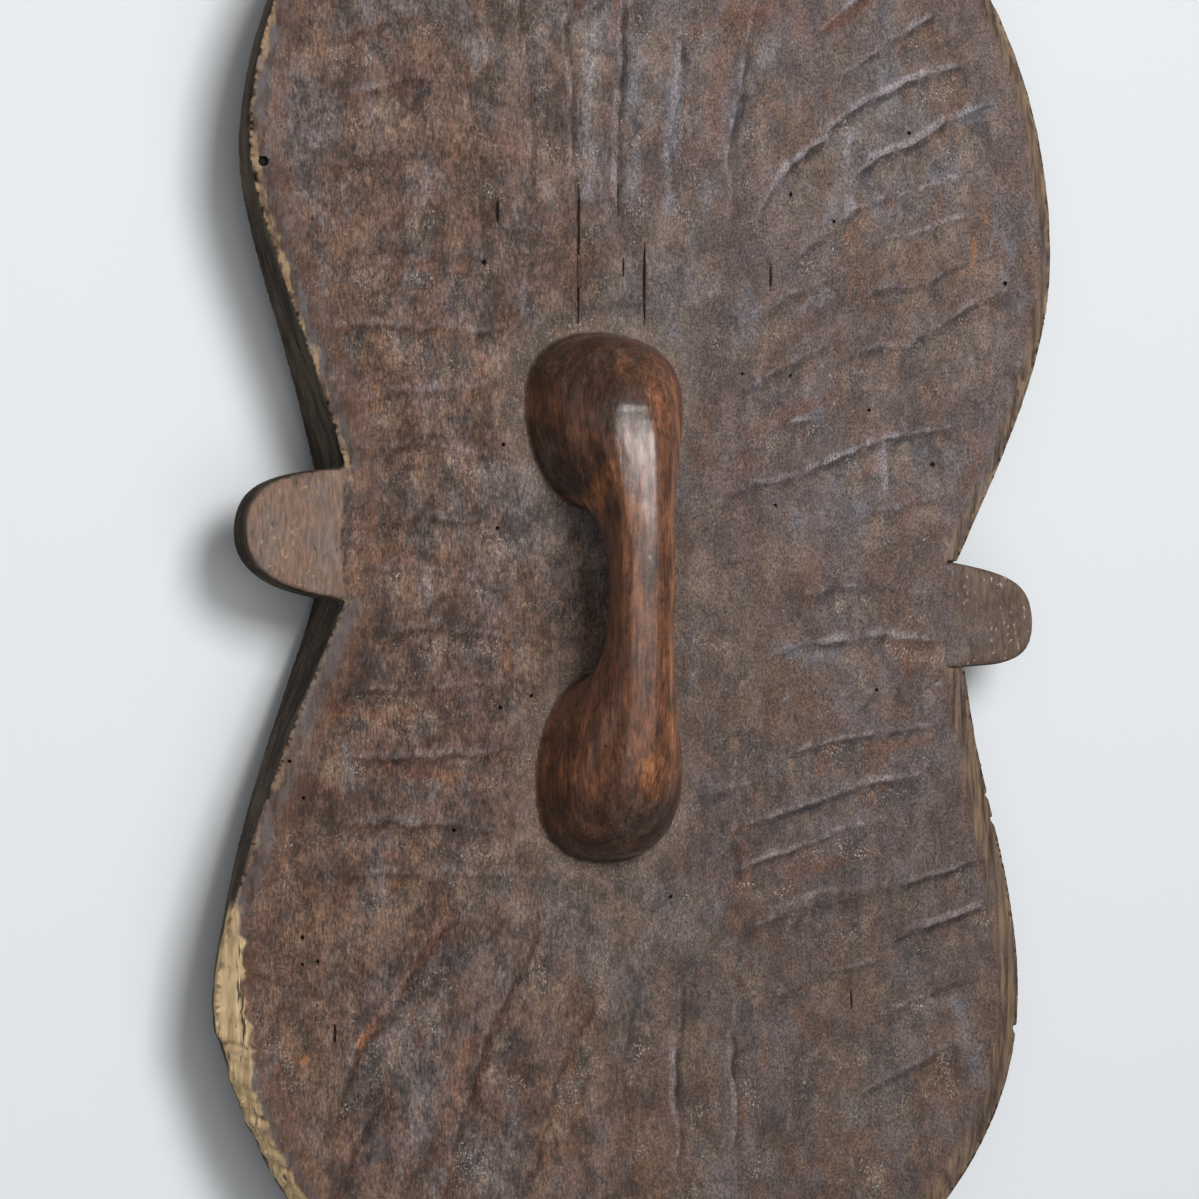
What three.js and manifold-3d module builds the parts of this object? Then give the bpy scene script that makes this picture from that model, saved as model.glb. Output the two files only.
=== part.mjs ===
// A carved wooden hand shield with a waisted, two-lobed outline, lying on its front.
// It is cut from one block: the board, the two waist tabs and the grip are a single solid.
// Millimetres, +Z up. +Y points at the top lobe and +X at the right-hand tab as the grip is seen.
// The origin is the middle of the outline, on the floor under the flat spot of the front.

import * as THREE from 'three';
import { mergeVertices } from 'three/addons/utils/BufferGeometryUtils.js';
import Module from 'manifold-3d';

const wasm = await Module();
wasm.setup();

// Board: heights above the floor and widths across the rim.
const RIM_HEIGHT = 54; // inner edge of the rim bevel
const BEVEL_WIDTH = 7;
const BEVEL_DROP = 2.5;
const DISH_DEPTH = 8; // hollow of the back, at its middle
const DISH_POWER = 2;
const BELLY_DROP = 1.2; // how far the full curve of the front would pass below the floor
const BELLY_POWER = 2.2;
const FRONT_TAPER = 1.5; // how far the foot of the rim wall stands inside its top edge

// Outline landmarks in order round the rim, each with its place and the depth of the rim wall there.
// A notch is a sharp inner corner of the waist, where a tab leaves the board.
const RIM = {
  top: { x: 5, y: 340.5, depth: 9 },
  upperLeft: { x: -180.5, y: 166, depth: 18 },
  leftNotchHigh: { x: -138, y: 33, depth: 41 },
  leftNotchLow: { x: -138, y: -21, depth: 43 },
  lowerLeft: { x: -193, y: -187, depth: 9 },
  bottom: { x: -9, y: -340.5, depth: 8 },
  lowerRight: { x: 176, y: -190, depth: 10 },
  rightNotchLow: { x: 150, y: -48, depth: 40 },
  rightNotchHigh: { x: 146, y: -2, depth: 40 },
  upperRight: { x: 193, y: 134, depth: 16 },
};
const DEPTH_EASE = 1.2; // above 1, the rim wall deepens late, close to the notch

// How each waist curve leaves its notch: the direction it sets off in, and the pull of either end.
const WAIST = {
  leftHigh: { leave: [-0.3, 0.95], notchPull: 58, widePull: 26 },
  leftLow: { leave: [-0.4, -0.92], notchPull: 52, widePull: 44 },
  rightLow: { leave: [0.1, -0.99], notchPull: 52, widePull: 52 },
  rightHigh: { leave: [0.44, 0.9], notchPull: 48, widePull: 48 },
};

const LOBE_STEPS = 18; // facets along a quarter of a lobe
const WAIST_STEPS = 14; // facets along a waist curve
const ROOT_STEPS = 3; // facets across the root of a tab
const BACK_SHARES = [0.15, 0.3, 0.45, 0.6, 0.75, 0.88, 1]; // middle to bevel
const FRONT_SHARES = [1, 0.9, 0.78, 0.65, 0.5, 0.35, 0.18, 0]; // rim wall to flat spot

// Tabs: flat tongues at the waist, each with the height of its top face above the floor.
const TAB_EDGE = 2.5; // rounded arris
const LEFT_TAB = { top: 53, thickness: 17, tip: -182.5, tipY: 6, rootDepth: 6 };
const RIGHT_TAB = { top: 47.5, thickness: 15, tip: 187, tipY: -29, rootDepth: 20, step: 6 };

// Grip: sections run from the inner curve, which bounds the finger gap, to the outer curve.
const GRIP_SINK = 6; // depth of both feet below the back
const GRIP_AXIS_X = -20.5;
const BAR_MIDDLE_Y = -20;
const BAR = { inner: 26, outer: 55, width: 26 };
const UPPER_BULB = { innerFoot: 18, outerFoot: 92, shoulder: 68, crest: 57, width: 67, lean: -2 };
const LOWER_BULB = { innerFoot: -52, outerFoot: -131, shoulder: -98, crest: 54, width: 62, lean: 0.5 };
const BULB_FULLNESS = 0.14; // how far the widest part of a section sits towards its outer side
const BULB_NARROWING = [-0.02, 0.92]; // shares of the way from a foot to the middle of the bar
const GAP_CORNER = 12; // how far the underside of the bar rounds into a bulb
const SECTION_POWER = 2.3; // 2 is an ellipse, more is squarer
const SECTION_SIDES = 24;
const HALF_SECTIONS = 15;

const wood = new THREE.MeshStandardMaterial({ color: 0x5f4f47, roughness: 0.62, metalness: 0 });

// ---------------------------------------------------------------- outline

// A quarter of an ellipse from a lobe's end to its widest point, or back again.
function lobeQuarter(from, to) {
  const points = [];
  const endFirst = Math.abs(from.y) > Math.abs(to.y);
  const [end, wide] = endFirst ? [from, to] : [to, from];
  for (let i = 0; i < LOBE_STEPS; i += 1) {
    const share = i / LOBE_STEPS;
    const angle = (endFirst ? share : 1 - share) * (Math.PI / 2);
    points.push({
      x: end.x + (wide.x - end.x) * Math.sin(angle),
      y: wide.y + (end.y - wide.y) * Math.cos(angle),
      depth: THREE.MathUtils.lerp(from.depth, to.depth, share),
    });
  }
  return points;
}

// A cubic curve between a lobe's widest point, where it runs along Y, and a notch.
function waistCurve(wide, notch, shape, outwards) {
  const along = Math.sign(notch.y - wide.y);
  const curve = new THREE.CubicBezierCurve(
    new THREE.Vector2(wide.x, wide.y),
    new THREE.Vector2(wide.x, wide.y + along * shape.widePull),
    new THREE.Vector2(...shape.leave).multiplyScalar(shape.notchPull).add(notch),
    new THREE.Vector2(notch.x, notch.y),
  );
  const points = [];
  for (let i = 0; i < WAIST_STEPS; i += 1) {
    const share = i / WAIST_STEPS;
    const t = outwards ? 1 - share : share;
    const place = curve.getPoint(t);
    const depth = THREE.MathUtils.lerp(wide.depth, notch.depth, t ** DEPTH_EASE);
    points.push({ x: place.x, y: place.y, depth });
  }
  return points;
}

// The root of a tab: the straight line between the two notches of one side.
function tabRoot(from, to) {
  const points = [];
  for (let i = 0; i < ROOT_STEPS; i += 1) {
    const share = i / ROOT_STEPS;
    points.push({
      x: THREE.MathUtils.lerp(from.x, to.x, share),
      y: THREE.MathUtils.lerp(from.y, to.y, share),
      depth: THREE.MathUtils.lerp(from.depth, to.depth, share),
    });
  }
  return points;
}

// The whole rim, anticlockwise as the back is seen.
function outlinePoints() {
  return [
    ...lobeQuarter(RIM.top, RIM.upperLeft),
    ...waistCurve(RIM.upperLeft, RIM.leftNotchHigh, WAIST.leftHigh, false),
    ...tabRoot(RIM.leftNotchHigh, RIM.leftNotchLow),
    ...waistCurve(RIM.lowerLeft, RIM.leftNotchLow, WAIST.leftLow, true),
    ...lobeQuarter(RIM.lowerLeft, RIM.bottom),
    ...lobeQuarter(RIM.bottom, RIM.lowerRight),
    ...waistCurve(RIM.lowerRight, RIM.rightNotchLow, WAIST.rightLow, false),
    ...tabRoot(RIM.rightNotchLow, RIM.rightNotchHigh),
    ...waistCurve(RIM.upperRight, RIM.rightNotchHigh, WAIST.rightHigh, true),
    ...lobeQuarter(RIM.upperRight, RIM.top),
  ];
}

// ---------------------------------------------------------------- board

// Height of the hollowed back at a share of the way from the middle (0) to the bevel (1).
const backHeight = (share) => RIM_HEIGHT - DISH_DEPTH * (1 - share ** DISH_POWER);

// Height of the front at a share of the way from the middle to the rim wall of the given depth.
function frontHeight(share, depth) {
  const belly = RIM_HEIGHT + BELLY_DROP - BEVEL_DROP - depth;
  const below = BEVEL_DROP + depth + belly * (1 - share ** BELLY_POWER);
  return Math.max(0, RIM_HEIGHT - below);
}

// Share of the way out at which the curve of the front meets the floor.
function flatShare(depth) {
  return (BELLY_DROP / (RIM_HEIGHT + BELLY_DROP - BEVEL_DROP - depth)) ** (1 / BELLY_POWER);
}

// Share of the way to an outline point that lies a width inside the outline, square to its side.
function insetShare(outline, index, width) {
  const before = outline[(index + outline.length - 1) % outline.length];
  const after = outline[(index + 1) % outline.length];
  const point = outline[index];
  const tangent = new THREE.Vector2(after.x - before.x, after.y - before.y).normalize();
  const sideDistance = tangent.y * point.x - tangent.x * point.y;
  return 1 - width / sideDistance;
}

function boardGeometry() {
  const outline = outlinePoints();
  const bevel = outline.map((point, index) => insetShare(outline, index, BEVEL_WIDTH));
  const foot = outline.map((point, index) => insetShare(outline, index, FRONT_TAPER));
  const ring = (scaleOf, heightOf) => outline.map((point, index) => {
    const scale = scaleOf(index);
    return new THREE.Vector3(point.x * scale, point.y * scale, heightOf(index));
  });

  const rings = [];
  for (const share of BACK_SHARES) {
    rings.push(ring((i) => share * bevel[i], () => backHeight(share)));
  }
  rings.push(ring(() => 1, () => RIM_HEIGHT - BEVEL_DROP));
  for (const share of FRONT_SHARES) {
    const shareOf = (i) => THREE.MathUtils.lerp(flatShare(outline[i].depth), 1, share);
    rings.push(ring((i) => foot[i] * shareOf(i), (i) => frontHeight(shareOf(i), outline[i].depth)));
  }
  return closedRings(rings, new THREE.Vector3(0, 0, backHeight(0)), new THREE.Vector3(0, 0, 0));
}

// Skins a run of closed rings, each end being drawn together at its own middle point.
function closedRings(rings, firstMiddle, lastMiddle) {
  const sides = rings[0].length;
  const points = [firstMiddle, ...rings.flat(), lastMiddle];
  const last = points.length - 1;
  const indices = [];
  for (let i = 0; i < sides; i += 1) {
    const next = (i + 1) % sides;
    indices.push(0, 1 + i, 1 + next);
    for (let row = 0; row + 1 < rings.length; row += 1) {
      const a = 1 + row * sides + i;
      const b = 1 + row * sides + next;
      indices.push(a, a + sides, b + sides, a, b + sides, b);
    }
    indices.push(last, last - sides + next, last - sides + i);
  }
  const geometry = new THREE.BufferGeometry();
  geometry.setFromPoints(points);
  geometry.setIndex(indices);
  return geometry;
}

// ---------------------------------------------------------------- tabs

function tabGeometry(shape, { top, thickness }) {
  const geometry = new THREE.ExtrudeGeometry(shape, {
    depth: thickness - 2 * TAB_EDGE,
    bevelThickness: TAB_EDGE,
    bevelSize: TAB_EDGE,
    bevelOffset: -TAB_EDGE,
    bevelSegments: 2,
    curveSegments: 12,
  });
  geometry.translate(0, 0, top - thickness + TAB_EDGE);
  return geometry;
}

// A blunt tongue whose upper corner is the fuller one.
function leftTab() {
  const { tip, tipY, rootDepth } = LEFT_TAB;
  const high = RIM.leftNotchHigh;
  const low = RIM.leftNotchLow;
  const shape = new THREE.Shape();
  shape.moveTo(high.x + rootDepth, high.y);
  shape.lineTo(high.x, high.y);
  shape.bezierCurveTo(high.x - 29, high.y - 3, tip, tipY + 20, tip, tipY);
  shape.bezierCurveTo(tip, tipY - 19, low.x - 24, low.y + 1, low.x, low.y - 1);
  shape.lineTo(low.x + rootDepth, low.y - 1);
  return tabGeometry(shape, LEFT_TAB);
}

// A shorter tongue with a round lower corner, set below the level of the back.
function rightTab() {
  const { tip, tipY, rootDepth } = RIGHT_TAB;
  const high = RIM.rightNotchHigh;
  const low = RIM.rightNotchLow;
  const shape = new THREE.Shape();
  shape.moveTo(high.x - rootDepth, low.y);
  shape.lineTo(low.x, low.y);
  shape.bezierCurveTo(low.x + 18, low.y + 2, tip, low.y - 1, tip, tipY);
  shape.bezierCurveTo(tip, tipY + 20, high.x + 28, high.y - 5, high.x, high.y);
  shape.lineTo(high.x - rootDepth, high.y);
  return tabGeometry(shape, RIGHT_TAB);
}

// Clears the board above the right tab, so that the tab lies a step below the back.
function rightStep() {
  const inner = RIM.rightNotchHigh.x - RIGHT_TAB.step;
  const outer = RIM.rightNotchLow.x + RIGHT_TAB.step;
  const length = RIM.rightNotchHigh.y - RIM.rightNotchLow.y;
  const middleY = (RIM.rightNotchHigh.y + RIM.rightNotchLow.y) / 2;
  const geometry = new THREE.BoxGeometry(outer - inner, length, RIM_HEIGHT);
  geometry.translate((inner + outer) / 2, middleY, RIGHT_TAB.top + RIM_HEIGHT / 2);
  return geometry;
}

// ---------------------------------------------------------------- grip

// One half of the grip, from its foot to the middle of the bar: a row of closed sections.
function gripHalf(bulb) {
  const foot = backHeight(0) - GRIP_SINK;
  const base = backHeight(0);
  const towardsBar = Math.sign(BAR_MIDDLE_Y - bulb.outerFoot);
  const outer = new THREE.CubicBezierCurve(
    new THREE.Vector2(bulb.outerFoot, foot),
    new THREE.Vector2(bulb.outerFoot, base + bulb.crest * 0.8),
    new THREE.Vector2(bulb.shoulder, base + bulb.crest),
    new THREE.Vector2(BAR_MIDDLE_Y, base + BAR.outer),
  );
  const inner = new THREE.CubicBezierCurve(
    new THREE.Vector2(bulb.innerFoot, foot),
    new THREE.Vector2(bulb.innerFoot, base + BAR.inner * 0.7),
    new THREE.Vector2(bulb.innerFoot + towardsBar * GAP_CORNER, base + BAR.inner),
    new THREE.Vector2(BAR_MIDDLE_Y, base + BAR.inner),
  );
  const sections = [];
  for (let i = 0; i <= HALF_SECTIONS; i += 1) {
    const t = i / HALF_SECTIONS;
    const narrowing = THREE.MathUtils.smoothstep(t, ...BULB_NARROWING);
    const width = THREE.MathUtils.lerp(bulb.width, BAR.width, narrowing);
    const middleX = GRIP_AXIS_X + bulb.lean * (1 - narrowing);
    const fullness = BULB_FULLNESS * (1 - narrowing);
    sections.push(gripSection(inner.getPoint(t), outer.getPoint(t), width, middleX, fullness));
  }
  return sections;
}

// A rounded section between an inner and an outer point, both given as (Y, Z).
function gripSection(inner, outer, width, middleX, fullness) {
  const section = [];
  const rounded = (value) => Math.sign(value) * Math.abs(value) ** (2 / SECTION_POWER);
  for (let i = 0; i < SECTION_SIDES; i += 1) {
    const angle = (2 * Math.PI * i) / SECTION_SIDES;
    const outwards = rounded(Math.cos(angle));
    const sideways = rounded(Math.sin(angle)) * (1 + fullness * outwards);
    section.push(new THREE.Vector3(
      middleX + (width / 2) * sideways,
      THREE.MathUtils.lerp(inner.x, outer.x, (1 + outwards) / 2),
      THREE.MathUtils.lerp(inner.y, outer.y, (1 + outwards) / 2),
    ));
  }
  return section;
}

function gripGeometry() {
  const upper = gripHalf(UPPER_BULB);
  const lower = gripHalf(LOWER_BULB).reverse().slice(1);
  const sections = [...upper, ...lower];
  const middleOf = (section) => section
    .reduce((sum, point) => sum.add(point), new THREE.Vector3())
    .divideScalar(section.length);
  return closedRings(sections, middleOf(sections[0]), middleOf(sections[sections.length - 1]));
}

// ---------------------------------------------------------------- joining

function solidOf(geometry) {
  const bare = geometry.clone();
  bare.deleteAttribute('normal');
  bare.deleteAttribute('uv');
  const merged = mergeVertices(bare, 1e-3);
  return new wasm.Manifold(new wasm.Mesh({
    numProp: 3,
    vertProperties: Float32Array.from(merged.attributes.position.array),
    triVerts: Uint32Array.from(merged.index.array),
  }));
}

function geometryOf(solid) {
  const { vertProperties, triVerts } = solid.getMesh();
  const geometry = new THREE.BufferGeometry();
  geometry.setAttribute('position', new THREE.BufferAttribute(vertProperties, 3));
  geometry.setIndex(new THREE.BufferAttribute(triVerts, 1));
  geometry.computeVertexNormals();
  return geometry;
}

const solid = solidOf(boardGeometry())
  .subtract(solidOf(rightStep()))
  .add(solidOf(leftTab()))
  .add(solidOf(rightTab()))
  .add(solidOf(gripGeometry()));

const shield = new THREE.Mesh(geometryOf(solid), wood);
shield.name = 'shield';

const group = new THREE.Group();
group.add(shield);

export default group;
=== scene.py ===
"""Looks of an old carved wooden shield, lying on its front with the grip up.

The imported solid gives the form. This script copies it, remeshes the copy finely, carves the adze
marks, cracks, worm holes, wear and the broken edge into it, and gives it one procedural wood
material. Arrays and sizes here are in millimetres; they become metres when a mesh is written.
"""

import itertools
import math

import bmesh
import bpy
import numpy as np
from mathutils import Matrix, Vector
from mathutils.bvhtree import BVHTree


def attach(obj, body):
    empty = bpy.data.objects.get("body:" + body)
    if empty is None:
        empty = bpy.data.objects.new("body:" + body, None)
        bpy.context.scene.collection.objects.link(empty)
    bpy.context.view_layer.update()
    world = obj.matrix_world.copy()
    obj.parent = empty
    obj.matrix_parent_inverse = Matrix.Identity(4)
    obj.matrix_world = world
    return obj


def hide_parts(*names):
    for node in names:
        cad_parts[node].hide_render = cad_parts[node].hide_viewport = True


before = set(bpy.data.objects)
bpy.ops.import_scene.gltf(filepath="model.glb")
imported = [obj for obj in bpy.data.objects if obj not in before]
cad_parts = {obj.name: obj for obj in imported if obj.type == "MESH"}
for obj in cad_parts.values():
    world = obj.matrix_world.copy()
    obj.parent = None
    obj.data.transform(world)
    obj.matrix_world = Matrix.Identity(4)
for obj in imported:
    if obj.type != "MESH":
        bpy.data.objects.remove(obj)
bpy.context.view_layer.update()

MM = 0.001
NODE = "shield"
PIECE = "carved_shield"

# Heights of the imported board, as in the part's source.
RIM_HEIGHT = 54.0  # inner edge of the rim bevel
OUTLINE_HEIGHT = 51.5  # outer edge of the rim bevel
DISH_DEPTH = 8.0
BEVEL_WIDTH = 7.0
GRIP_BOX = ((-58, -136), (17, 98))  # holds the whole grip and its feet
FOOT_HEIGHT = 1.5  # height above the back at which the grip's foot is found

# Mesh sizes.
VOXEL = 1.25
TRIANGLES = 195000
MAP_STEP = 0.6
ARRIS_REACH = 1.05 * VOXEL  # how far a vertex may be moved to lie on the arris
RELAX_ROUNDS = 4

NOISE_REACH = np.array([260.0, 400.0, 160.0])  # noise is known as far as this from the middle
MAP_REACH = np.array([212.0, 360.0])  # half width and half length of the back's height map
NO_MARK = 20.0  # distance given where no crack or hole is near

# Adze cuts. A cut starts steeply along its upper edge and climbs slowly across its width to the
# next one. Each has the two ends of its upper edge, its width and its depth.
CUTS = [
    # fan of cuts in the upper right of the back
    ((76, 222), (118, 254), 26, 1.4), ((92, 211), (140, 241), 24, 1.4),
    ((86, 187), (146, 218), 25, 1.9), ((95, 165), (160, 200), 25, 2.0),
    ((92, 147), (150, 172), 22, 1.2), ((48, 152), (94, 188), 30, 1.6),
    ((100, 133), (156, 151), 20, 0.9), ((108, 114), (163, 134), 20, 1.6),
    ((120, 92), (168, 118), 22, 1.6), ((62, 76), (134, 96), 24, 1.2), ((42, 46), (82, 62), 20, 0.9),
    ((76, 38), (150, 62), 26, 1.6), ((94, 14), (148, 30), 24, 0.9),
    # right of the waist
    ((64, -17), (144, -13), 20, 0.9), ((54, -40), (146, -35), 24, 1.2),
    ((60, -62), (150, -52), 20, 0.9),
    # lower right
    ((66, -84), (134, -69), 22, 1.6), ((36, -119), (126, -92), 20, 1.4),
    ((42, -134), (112, -111), 24, 1.6), ((108, -144), (162, -129), 20, 1.2),
    ((46, -160), (114, -140), 24, 1.2), ((106, -167), (160, -151), 22, 1.4),
    ((58, -186), (128, -168), 26, 1.0), ((104, -200), (162, -180), 24, 0.9),
    ((96, -232), (150, -205), 26, 1.0),
    # lower left, sweeping down towards the rim
    ((-142, -222), (-90, -150), 28, 1.9), ((-150, -272), (-106, -206), 24, 1.4),
    ((-100, -272), (-55, -162), 28, 1.9), ((-62, -280), (-30, -190), 26, 1.2),
    # upright cuts in the top lobe
    ((-80, 148), (-86, 240), 22, 0.9), ((-56, 140), (-59, 245), 19, 1.2),
    ((-36, 134), (-40, 250), 22, 1.4), ((-15, 138), (-14, 250), 24, 1.6),
    ((10, 140), (16, 250), 24, 1.2), ((34, 150), (50, 246), 28, 1.4),
    # upright cuts in the bottom lobe
    ((-8, -285), (-12, -185), 22, 0.9), ((13, -288), (13, -180), 24, 1.4),
    ((38, -285), (38, -176), 24, 1.2), ((62, -272), (68, -196), 26, 0.9),
]

# Rows of fainter cuts: middle of the first and of the last upper edge, count, first and last angle
# in degrees above +X, length, width and depth.
CUT_ROWS = [
    ((-104, 116), (-100, -134), 11, 4, -4, 84, 25, 1.4),
    ((-120, 214), (-118, 140), 4, 14, 6, 66, 23, 1.1),
    ((34, 24), (34, -100), 6, 4, 10, 50, 24, 0.7),
    ((126, 250), (142, 66), 9, 38, 20, 44, 17, 0.6),
    ((84, 136), (58, 30), 5, 28, 12, 54, 20, 0.8),
    ((96, -48), (88, -236), 9, 5, 16, 66, 17, 0.6),
    ((-104, 272), (112, 282), 9, 104, 52, 70, 26, 1.1),
    ((-96, -304), (104, -286), 8, 62, 112, 66, 28, 1.1),
]
STEEP_SHARE = 0.26  # share of a cut's width that its steep side takes up
CUT_SEED = 11

# Cracks along the grain: X, upper Y, lower Y, width.
CRACKS = [
    (-32, 156, 96, 0.50),
    (-1, 131, 97, 0.65),
    (-14, 156, 142, 0.4),
    (-11, 124, 117, 0.4),
    (58, 124, 113, 0.45),
    (-69, 147, 137, 0.45),
    (-143, -196, -203, 0.45),
    (95, -187, -195, 0.45),
]
CRACK_DEPTH = 1.6
CRACK_WANDER = 0.7

# Worm holes: X, Y, diameter.
WORM_HOLES = [
    (-175, 157, 3.8), (-75, 120, 1.4), (-69, 9, 1.3), (-66, 44, 1.5), (-53, -61, 1.2),
    (-67, -66, 1.4), (-37, -82, 1.1), (-88, -117, 1.4), (-163, -88, 1.2), (-157, -103, 1.3),
    (-157, -160, 1.3), (-157, -171, 1.1), (-150, -170, 1.2), (11, -146, 1.2), (124, 184, 1.5),
    (68, 155, 1.3), (88, 144, 1.2), (170, 120, 1.7), (45, 77, 1.1), (68, 77, 1.1),
    (105, 63, 1.2), (61, 21, 1.1), (135, 40, 1.3), (108, -58, 1.2),
]
HOLE_DEPTH = 2.6

# Shallow dents in the back: X, Y, radius, depth.
DENTS = [(-97, 169, 3.5, 0.7), (-105, 159, 3.0, 0.6), (-60, 161, 3.0, 0.6), (-80, 125, 3.5, 0.6)]

# Stains, rubbed streaks and the blue streaks of painted sheen, as strokes on the back: ends and half
# width, by the tint they take.
STROKES = {
    "pale": [
        ((142, 6), (141, -42), 1.3), ((131, -193), (145, -191), 0.5), ((96, 184), (95, 147), 1.4),
        ((112, 48), (112, 26), 1.8), ((-104, -6), (-97, -30), 1.2),
    ],
    "blue": [
        ((166, 48), (147, -2), 4.0), ((168, 136), (176, 112), 5.0), ((50, 205), (58, 218), 3.5),
        ((86, 144), (90, 160), 2.5), ((146, 190), (162, 197), 3.0), ((72, 105), (86, 113), 2.0),
        ((22, 130), (30, 160), 3.0), ((-26, 230), (-28, 150), 3.0), ((-4, 215), (-8, 150), 3.5),
        ((14, 204), (10, 144), 3.0), ((146, -196), (158, -226), 5.0), ((58, -40), (90, -44), 3.0),
    ],
    "red": [
        ((48, 52), (84, 68), 2.5), ((30, 180), (34, 215), 5.0), ((20, 222), (60, 235), 3.0),
        ((-134, -2), (-90, -4), 3.0), ((-146, -66), (-108, -70), 3.5),
        ((-152, -100), (-128, -104), 3.0), ((-82, -205), (-100, -255), 2.5),
        ((72, -136), (104, -128), 2.5), ((104, -84), (130, -80), 2.5),
        ((-134, 30), (-134, -20), 1.3), ((83, 227), (104, 239), 2.4), ((-14, 240), (-20, 196), 2.0),
        ((-92, -152), (-128, -201), 2.2), ((-112, 118), (-84, 116), 2.5),
        ((-120, -92), (-78, -96), 3.0), ((-116, -126), (-88, -122), 2.5),
        ((-91, -254), (-98, -272), 1.6), ((-20, -74), (-4, -104), 3.0),
    ],
    "dark": [
        ((34, -104), (36, -117), 2.0), ((41, -124), (43, -137), 2.0),
        ((-14, -132), (-14, -141), 2.2), ((-62, 66), (-58, 78), 2.0), ((-58, 78), (-44, 96), 3.5),
        ((-44, 96), (-27, 102), 4.0), ((-27, 102), (-4, 104), 3.0),
        ((-186, -160), (-178, -161), 0.9), ((-140, -192), (-144, -204), 0.6),
        ((-37, -130), (-3, -131), 0.9), ((168, 84), (178, 75), 1.2),
    ],
    "orange": [
        ((161, 150), (160, 146), 1.5), ((155, 136), (155, 128), 0.9),
        ((-158, -209), (-156, -210), 1.6), ((-131, -204), (-126, -197), 1.4),
        ((-162, -196), (-169, -214), 0.9),
    ],
}

# The broken rim of the lower left lobe, at stations down the rim: Y, width of the bare break,
# how far the rim is lost, and how far the break falls from its inner line to its outer one.
BREAK = np.array([
    (-142, 0.0, 0.0, 0.0),
    (-150, 2.2, 0.3, 1.0),
    (-158, 3.0, 0.4, 1.5),
    (-162, 7.5, 0.6, 3.5),
    (-176, 8.5, 0.6, 4.5),
    (-188, 12.0, 0.2, 5.5),
    (-199, 12.0, 0.8, 5.5),
    (-204, 10.5, 3.6, 5.5),
    (-216, 8.6, 5.0, 5.0),
    (-240, 8.4, 6.0, 4.5),
    (-268, 8.2, 6.0, 4.0),
    (-286, 4.0, 2.0, 2.5),
    (-298, 0.0, 0.0, 0.0),
])

# Nicks in the right rim: X, Y, half length along the rim, depth inwards.
NICKS = [(163, -104, 2.2, 1.6), (165, -115, 2.6, 1.3), (176, -206, 2.0, 2.6)]
CHIP = ((176, 77), 5.0, 1.3)  # middle, half width and depth of the flake lost from the right rim

TAB_GROOVE = ((181, -18), (181, -36), 2.2, 1.0)  # ends, width and depth

# The grip's rubbed crest, a narrow facet that tips to the left, at stations up the grip: Y, the
# facet's middle X, its half width, and how far it lies below the crest.
CREST_FACET = np.array([
    (-96, -26.0, 2.5, 1.2),
    (-60, -26.5, 2.5, 1.0),
    (0, -27.5, 2.8, 1.2),
    (22, -28.5, 4.5, 1.8),
    (45, -30.0, 6.0, 2.2),
    (57, -29.5, 4.5, 1.8),
    (69, -28.5, 1.5, 1.1),
    (82, -28.0, 0.0, 0.4),
])
CREST_STEP = 3.0  # spacing of the places where the crest's height is taken
FACET_TIP = math.tan(math.radians(11))
FACET_FADE = 8.0  # width over which the facet runs out on either side

# Ways that the darkened sides of the upper bulb face: its underside, in painted shade, and its upper left
# shoulder.
UNDERCUT_FACING = np.array([-0.66, -0.66, -0.36])
SHOULDER_FACING = np.array([-0.55, 0.70, 0.45])

# Where the grip is worn through to orange wood: ends and half width.
GRIP_WEAR = [
    ((-6, 70), (-4, 40), 2.5),
    ((-8, 40), (-10, -46), 3.0),
    ((-37, 34), (-38, -30), 2.0),
    ((-13, -46), (-9, -70), 2.5),
    ((-9, -70), (-5, -92), 4.5),
    ((-22, -86), (-14, -97), 6.0),
]


# ---------------------------------------------------------------- numbers on arrays


def places(mesh):
    """Vertex places of a mesh, in millimetres."""
    flat = np.empty(len(mesh.vertices) * 3)
    mesh.vertices.foreach_get("co", flat)
    return flat.reshape(-1, 3) / MM


def set_places(mesh, points):
    mesh.vertices.foreach_set("co", (points * MM).ravel())
    mesh.update()


def vertex_normals(mesh):
    flat = np.empty(len(mesh.vertices) * 3)
    mesh.vertex_normals.foreach_get("vector", flat)
    return flat.reshape(-1, 3)


def smoothstep(low, high, value):
    share = np.clip((value - low) / (high - low), 0, 1)
    return share * share * (3 - 2 * share)


def lattice_noise(points, cell, seed):
    """Smooth noise from -1 to 1, from random values at the corners of a lattice with that cell."""
    cell = np.broadcast_to(np.asarray(cell, float), (points.shape[1],))
    reach = NOISE_REACH[: points.shape[1]]
    corners = np.ceil(2 * reach / cell).astype(int) + 2
    values = np.random.default_rng(seed).uniform(-1, 1, corners)
    place = np.clip((points + reach) / cell, 0, corners - 2.001)
    base = place.astype(int)
    part = place - base
    ease = part * part * (3 - 2 * part)
    total = np.zeros(len(points))
    for corner in itertools.product((0, 1), repeat=points.shape[1]):
        weight = np.prod(np.where(np.array(corner) == 1, ease, 1 - ease), axis=1)
        total += weight * values[tuple((base + corner).T)]
    return total


def layered_noise(points, cell, seed, layers=3):
    """Noise with finer, weaker copies of itself added."""
    cell = np.asarray(cell, float)
    return sum(lattice_noise(points, cell / 2**i, seed + i) / 2**i for i in range(layers))


def line_distance(points, start, end):
    """Distance in plan from each point to the straight line between two points."""
    start, end = np.asarray(start, float), np.asarray(end, float)
    run = end - start
    share = np.clip(((points - start) @ run) / (run @ run), 0, 1)
    return np.linalg.norm(points - start - share[:, None] * run, axis=1)


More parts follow.
